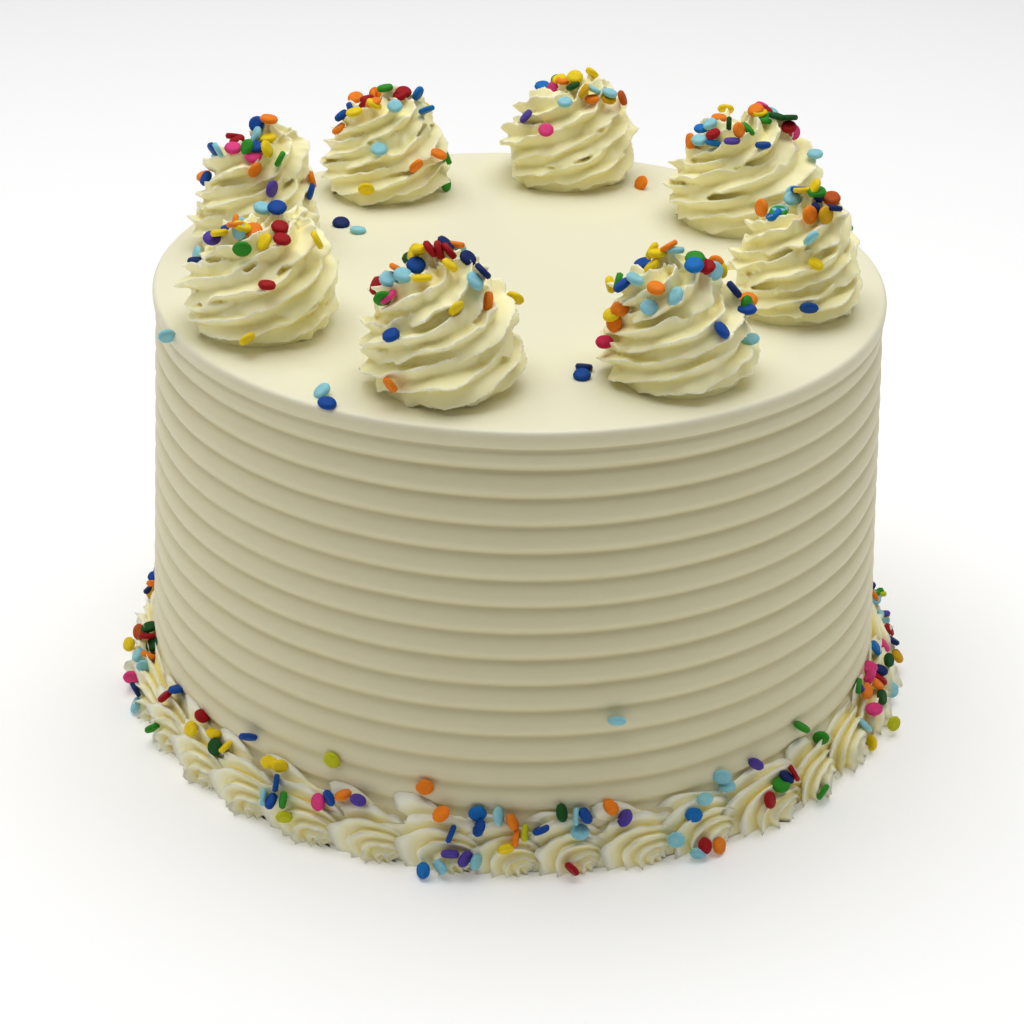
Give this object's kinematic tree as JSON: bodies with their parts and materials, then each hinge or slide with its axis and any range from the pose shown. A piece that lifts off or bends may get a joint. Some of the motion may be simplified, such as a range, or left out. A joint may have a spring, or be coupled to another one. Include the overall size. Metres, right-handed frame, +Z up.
{
  "type": "confetti cake",
  "caption": "Round iced cake with a combed side, piped swirls round the top, a piped shell border at the foot and round confetti sprinkles.",
  "frame": {"origin": "on the cake's axis, level with the flat underside that it stands on", "axes": "+Z up along the cake's axis; -Y towards the front of the picture's view; +X to the right of it"},
  "size_m": [0.2209, 0.2204, 0.1542],
  "materials": {
    "cake_cream": "satin",
    "piped_cream": "satin",
    "sprinkle_coating": "matte"
  },
  "bodies": {
    "root": {"cake": "cake_cream", "swirl_1": "piped_cream", "swirl_2": "piped_cream", "swirl_3": "piped_cream", "swirl_4": "piped_cream", "swirl_5": "piped_cream", "swirl_6": "piped_cream", "swirl_7": "piped_cream", "swirl_8": "piped_cream", "shell_border": "piped_cream"}
  },
  "joints": []
}
